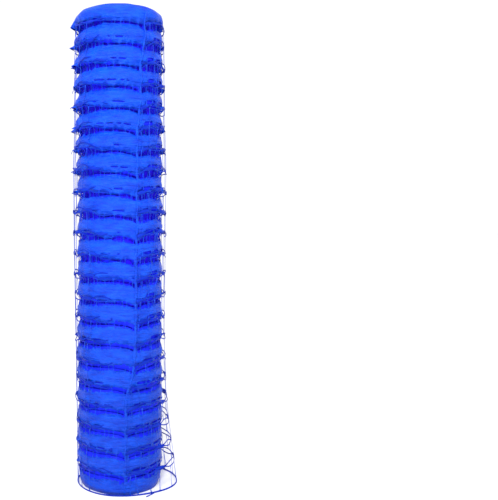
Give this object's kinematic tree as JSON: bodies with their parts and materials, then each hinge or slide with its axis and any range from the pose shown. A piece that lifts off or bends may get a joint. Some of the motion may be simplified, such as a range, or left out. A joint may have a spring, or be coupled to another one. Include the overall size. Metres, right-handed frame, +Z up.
{
  "type": "plastic safety fencing roll",
  "caption": "Upright roll of drawn plastic mesh barrier fencing, wound on itself round a narrow open bore, its outer turn loose at the foot.",
  "frame": {"origin": "middle of the foot of the bounding box, on the floor", "axes": "+Z up along the roll's axis, -Y towards the front where the free end of the net lies, +X to the right, where the loose turn flares most"},
  "size_m": [0.2232, 0.1942, 1],
  "materials": {
    "net": "semi-gloss drawn polyethylene film, saturated blue"
  },
  "bodies": {
    "root": {"fencing_roll": "net"}
  },
  "joints": []
}
